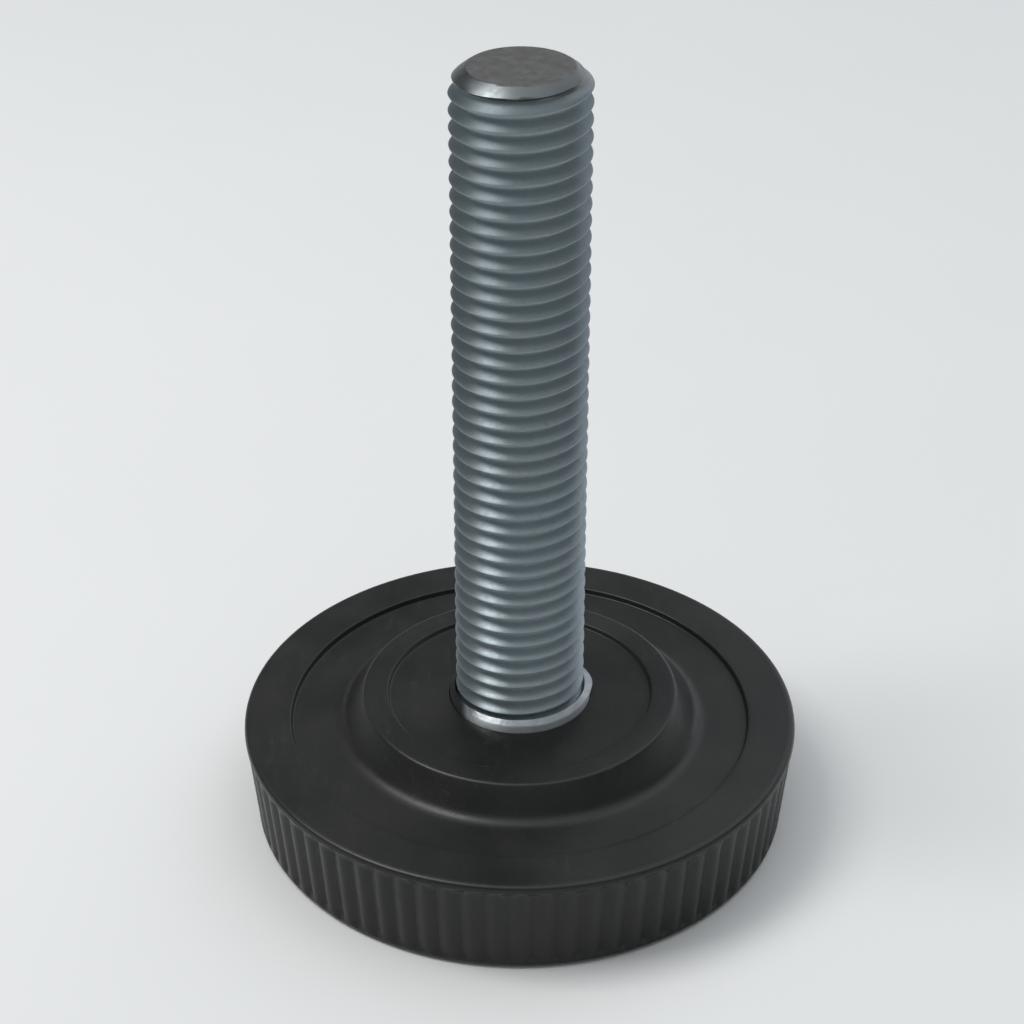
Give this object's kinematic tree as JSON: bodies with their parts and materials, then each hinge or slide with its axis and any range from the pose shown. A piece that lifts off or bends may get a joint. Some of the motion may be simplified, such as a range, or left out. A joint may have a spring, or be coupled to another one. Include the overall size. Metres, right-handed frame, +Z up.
{
  "type": "furniture leveling foot",
  "caption": "Hand-turned leveling foot: threaded steel stud in a round serrated plastic base that turns on a snap-in glide pad.",
  "frame": {"origin": "centre of the sole's underside, on the floor, on the axis of the stud", "axes": "+Z up along the stud; the foot is round, so +X and +Y only fix the hexagon's and the thread's phase"},
  "size_m": [0.052, 0.052, 0.074],
  "materials": {
    "zinc_plated_stud": "blue-white zinc plate, semi-bright",
    "zinc_plated_insert": "zinc plate, satin",
    "black_base_plastic": "black moulded plastic, semi-gloss",
    "pad_plastic": "dark grey moulded plastic, matt",
    "sole_rubber": "black rubber, matt"
  },
  "bodies": {
    "hand_wheel": {"serrated_base": "black_base_plastic", "hex_insert_nut": "zinc_plated_insert", "threaded_stud": "zinc_plated_stud"},
    "glide": {"glide_pad": "pad_plastic", "anti_slip_sole": "sole_rubber"}
  },
  "joints": [
    {"name": "glide_swivel", "type": "hinge", "parent": "hand_wheel", "child": "glide", "pos_m": [0, 0, 0.0016], "axis": [0, 0, 1], "continuous": true}
  ]
}
